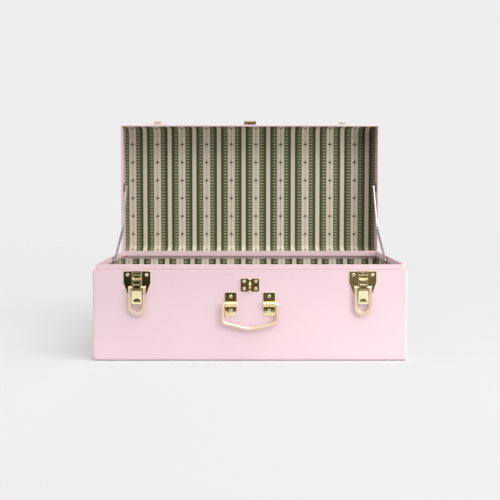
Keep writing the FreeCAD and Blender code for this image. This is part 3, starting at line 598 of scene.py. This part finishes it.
def screw_set(name, outwards, body):
    """Cross-head screws that take the place of a CAD group."""
    work = bmesh.new()
    facing = outwards.to_track_quat("Z", "Y").to_matrix().to_4x4()
    for count, place in enumerate(screw_places(name, outwards)):
        first = len(work.verts)
        work.from_mesh(head_mesh)
        work.verts.ensure_lookup_table()
        turn = Matrix.Rotation(first_turn + turn_between * count, 4, "Z")
        placed = Matrix.Translation(place) @ facing @ turn
        bmesh.ops.transform(work, matrix=placed, verts=work.verts[first:])
    piece = object_from(name + "_cross_head", work)
    piece.data.materials.append(screw_brass)
    for polygon in piece.data.polygons:
        polygon.use_smooth = True
    edge_split = piece.modifiers.new("edges", "EDGE_SPLIT")
    edge_split.split_angle = crease_angle
    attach(piece, body)
    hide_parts(name)
    print(piece.name, "with", count + 1, "heads")


for group_name in ("latch_screws", "staple_screws", "handle_screws"):
    screw_set(group_name, forwards, "base")
for group_name in ("catch_screws", "hasp_screws"):
    screw_set(group_name, upwards, "lid")

# %% [markdown]
# ## The floor
# The trunk stands on a pale floor that runs on into a pale background. A real studio has a sheet that
# curves up behind. Here the floor is one wide disc that gets clearer towards its rim, where the same
# colour of the world shows through, so there is no line between the two. It is staged, so it is not a
# piece of the trunk. Its material is built up in the next three steps.

# %% Floor disc
floor_radius = 6.0
floor_mesh = bmesh.new()
bmesh.ops.create_circle(floor_mesh, cap_ends=True, segments=96, radius=floor_radius)
floor = object_from("floor", floor_mesh)
floor_material, floor_tree, floor_place = new_material("pale_floor")
floor.data.materials.append(floor_material)
floor_split = add(floor_tree, "ShaderNodeSeparateXYZ", {"Vector": floor_place})
floor_rays = add(floor_tree, "ShaderNodeLightPath")
print("floor", 2 * floor_radius, "m across")

# %% [markdown]
# ## The floor as the camera sees it
# In the picture the open floor has been whitened evenly and only the broad shadow on the left is kept.
# So where the camera looks at it, part of the floor is an even pale tone and part is matt and takes
# light and shadow: mostly matt to the left of the trunk, mostly even elsewhere. Within a centimetre or
# so of the trunk it is matt all round, for the thin dark line of contact. The distance to the trunk is
# the larger one of the distances to its sides and to its front or rear.

# %% How much of the floor is even where the camera looks
trunk_half_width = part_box("base_end_right")[1][0]
trunk_half_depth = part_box("base_wrapper")[1][1]
contact_start = 0.004  # matt up to this distance from the trunk
contact_end = 0.016
shade_full = -0.33  # left of this the floor is mostly matt
shade_end = -0.25  # and right of this mostly even
even_left = 0.2
even_right = 0.74

floor_side = add(floor_tree, "ShaderNodeMath", {0: floor_split.outputs["X"]}, operation="ABSOLUTE")
floor_side = add(floor_tree, "ShaderNodeMath", {0: floor_side, 1: trunk_half_width}, operation="SUBTRACT")
floor_front = add(floor_tree, "ShaderNodeMath", {0: floor_split.outputs["Y"]}, operation="ABSOLUTE")
floor_front = add(floor_tree, "ShaderNodeMath", {0: floor_front, 1: trunk_half_depth}, operation="SUBTRACT")
floor_away = add(floor_tree, "ShaderNodeMath", {0: floor_side, 1: floor_front}, operation="MAXIMUM")
off_contact = add(floor_tree, "ShaderNodeMapRange", {
    "Value": floor_away, "From Min": contact_start, "From Max": contact_end})
even_share = add(floor_tree, "ShaderNodeMapRange", {
    "Value": floor_split.outputs["X"], "From Min": shade_full, "From Max": shade_end, "To Min": even_left,
    "To Max": even_right}, interpolation_type="SMOOTHSTEP")
even_share = add(floor_tree, "ShaderNodeMath", {0: even_share, 1: off_contact}, operation="MULTIPLY")
even_share = add(floor_tree, "ShaderNodeMath", {0: even_share, 1: floor_rays.outputs["Is Camera Ray"]},
                 operation="MULTIPLY")
print("even share", even_left, "on the left,", even_right, "elsewhere")

# %% [markdown]
# ## The table that the metal mirrors
# Polished brass shows what stands in front of it. In the picture the flat plates are dark above and
# bright at their feet: they mirror a pale table that ends some 50 cm in front of the trunk, and a dim
# room beyond it, dimmer on the left. So all rays but the camera's find the floor dim past that line.
# A dim board could be stood there too, but it would shade the trunk and show in other views.

# %% The table and the dim room beyond it
table_tone = "cecece"
table_reach = 0.54
room_dim = "302c20"
room_pale = "7d7560"
room_left_tone = "1f1f12"
room_left = -0.42
room_right = 0.35
room_cloud_scale = 9.0

room_side = add(floor_tree, "ShaderNodeMapRange", {
    "Value": floor_split.outputs["X"], "From Min": room_left, "From Max": room_right})
room_cloud = add(floor_tree, "ShaderNodeTexNoise", {
    "Vector": floor_place, "Scale": room_cloud_scale, "Detail": 1.0})
room_tone = add(floor_tree, "ShaderNodeMix", {
    "Factor": room_cloud.outputs["Fac"], "A": linear(room_dim), "B": linear(room_pale)}, data_type="RGBA")
room_tone = add(floor_tree, "ShaderNodeMix", {
    "Factor": room_side, "A": linear(room_left_tone), "B": room_tone}, data_type="RGBA")
past_table = add(floor_tree, "ShaderNodeMath", {
    0: floor_split.outputs["Y"], 1: -(trunk_half_depth + table_reach)}, operation="LESS_THAN")
not_camera = add(floor_tree, "ShaderNodeMath", {0: 1.0, 1: floor_rays.outputs["Is Camera Ray"]},
                 operation="SUBTRACT")
past_table = add(floor_tree, "ShaderNodeMath", {0: past_table, 1: not_camera}, operation="MULTIPLY")
floor_tone = add(floor_tree, "ShaderNodeMix", {
    "Factor": past_table, "A": linear(table_tone), "B": room_tone}, data_type="RGBA")
print("table ends", table_reach, "m in front of the trunk")

# %% [markdown]
# ## The floor put together
# The matt floor and the even tone are mixed by the share found above. The mix then gets clearer with
# the distance from the trunk. A smooth step has no visible start, which a straight ramp would have.

# %% The floor put together, clearer towards its rim
backdrop_tone = "eeeeee"
fade_start = 1.2
fade_end = 4.5

floor_matt = add(floor_tree, "ShaderNodeBsdfDiffuse", {"Color": floor_tone})
floor_even = add(floor_tree, "ShaderNodeEmission", {"Color": linear(backdrop_tone), "Strength": 1.0})
floor_seen = add(floor_tree, "ShaderNodeMixShader", {0: even_share, 1: floor_matt, 2: floor_even})
floor_reach = add(floor_tree, "ShaderNodeVectorMath", {0: floor_place}, operation="LENGTH")
floor_fade = add(floor_tree, "ShaderNodeMapRange", {
    "Value": floor_reach.outputs["Value"], "From Min": fade_start, "From Max": fade_end},
    interpolation_type="SMOOTHSTEP")
floor_clear = add(floor_tree, "ShaderNodeBsdfTransparent")
floor_mix = add(floor_tree, "ShaderNodeMixShader", {0: floor_fade, 1: floor_seen, 2: floor_clear})
add(floor_tree, "ShaderNodeOutputMaterial", {"Surface": floor_mix})
print("floor material of", len(floor_tree.nodes), "nodes")

# %% [markdown]
# ## The light of the room
# A pale room lights a thing from all round. The sky here is brighter above, as under a white ceiling,
# and to both sides, as between pale walls, which reaches the inside of the open trunk. The camera, and
# the plating where it mirrors the sky, find an even pale background in its place, so the picture has one
# plain tone behind the trunk. A tent of large lamps would give the same light, but with more noise.

# %% Sky that is brighter above and to the sides, and the background that the camera sees
world = bpy.data.worlds.new("studio")
bpy.context.scene.world = world
world.use_nodes = True
world_tree = world.node_tree
world_tree.nodes.clear()
sky_low = 0.08
sky_high = 0.55
sky_sides = 0.35

direction = add(world_tree, "ShaderNodeTexCoord").outputs["Generated"]
sky_split = add(world_tree, "ShaderNodeSeparateXYZ", {"Vector": direction})
sky_light = add(world_tree, "ShaderNodeMapRange", {
    "Value": sky_split.outputs["Z"], "To Min": sky_low, "To Max": sky_high})
sideways = add(world_tree, "ShaderNodeMath", {0: sky_split.outputs["X"]}, operation="ABSOLUTE")
sky_light = add(world_tree, "ShaderNodeMath", {0: sideways, 1: sky_sides, 2: sky_light},
                operation="MULTIPLY_ADD")
around = add(world_tree, "ShaderNodeBackground", {"Color": linear("ffffff"), "Strength": sky_light})
backdrop = add(world_tree, "ShaderNodeBackground", {"Color": linear(backdrop_tone), "Strength": 1.0})
rays = add(world_tree, "ShaderNodeLightPath")
seen = add(world_tree, "ShaderNodeMath", {
    0: rays.outputs["Is Camera Ray"], 1: rays.outputs["Is Glossy Ray"]}, operation="MAXIMUM")
seen = add(world_tree, "ShaderNodeMath", {
    0: seen, 1: rays.outputs["Is Transmission Ray"]}, operation="MAXIMUM")
world_mix = add(world_tree, "ShaderNodeMixShader", {0: seen, 1: around, 2: backdrop})
add(world_tree, "ShaderNodeOutputWorld", {"Surface": world_mix})
print("sky", sky_low, "at the horizon,", sky_high, "overhead,", sky_sides, "more at the sides")

# %% [markdown]
# ## The lamps
# The picture tells where its light comes from. Under the lid's skirt the lining gets darker over a
# third of its height, so most light comes steeply from above. The floor's shadow falls to the left and
# is very soft, so the light is large and stands to the right. Here it is one wide sun, which lights the
# whole trunk evenly. A weaker wide sun stands for the pale wall on the left, which lights the walls that
# face it. A small lamp near the right front makes the front a little brighter towards the right, as a
# second window would.

# %% Lamps
def lamp(name, kind, place, aim, energy):
    """Lamp at a place, turned to a point."""
    data = bpy.data.lights.new(name, kind)
    data.energy = energy
    made = bpy.data.objects.new(name, data)
    bpy.context.scene.collection.objects.link(made)
    made.location = place
    made.rotation_euler = (place - aim).to_track_quat("Z", "Y").to_euler()
    print(name, "stands", round(math.degrees(math.asin((place - aim).normalized().z))), "degrees high")
    return data


trunk_middle = Vector((0, 0, 0.2))
window_place = Vector((1.25, -1.05, 2.8))
window_strength = 2.25
window_spread = math.radians(56)
pale_wall_place = Vector((-2.0, -0.5, 2.3))
pale_wall_strength = 0.85
pale_wall_spread = math.radians(60)
near_window_place = Vector((1.15, -0.75, 0.45))
near_window_watts = 6.2
near_window_width = 0.5

window = lamp("window", "SUN", window_place, trunk_middle, window_strength)
window.angle = window_spread
pale_wall = lamp("pale_wall", "SUN", pale_wall_place, trunk_middle, pale_wall_strength)
pale_wall.angle = pale_wall_spread
near_window = lamp("near_window", "AREA", near_window_place, trunk_middle, near_window_watts)
near_window.shape = "DISK"
near_window.size = near_window_width
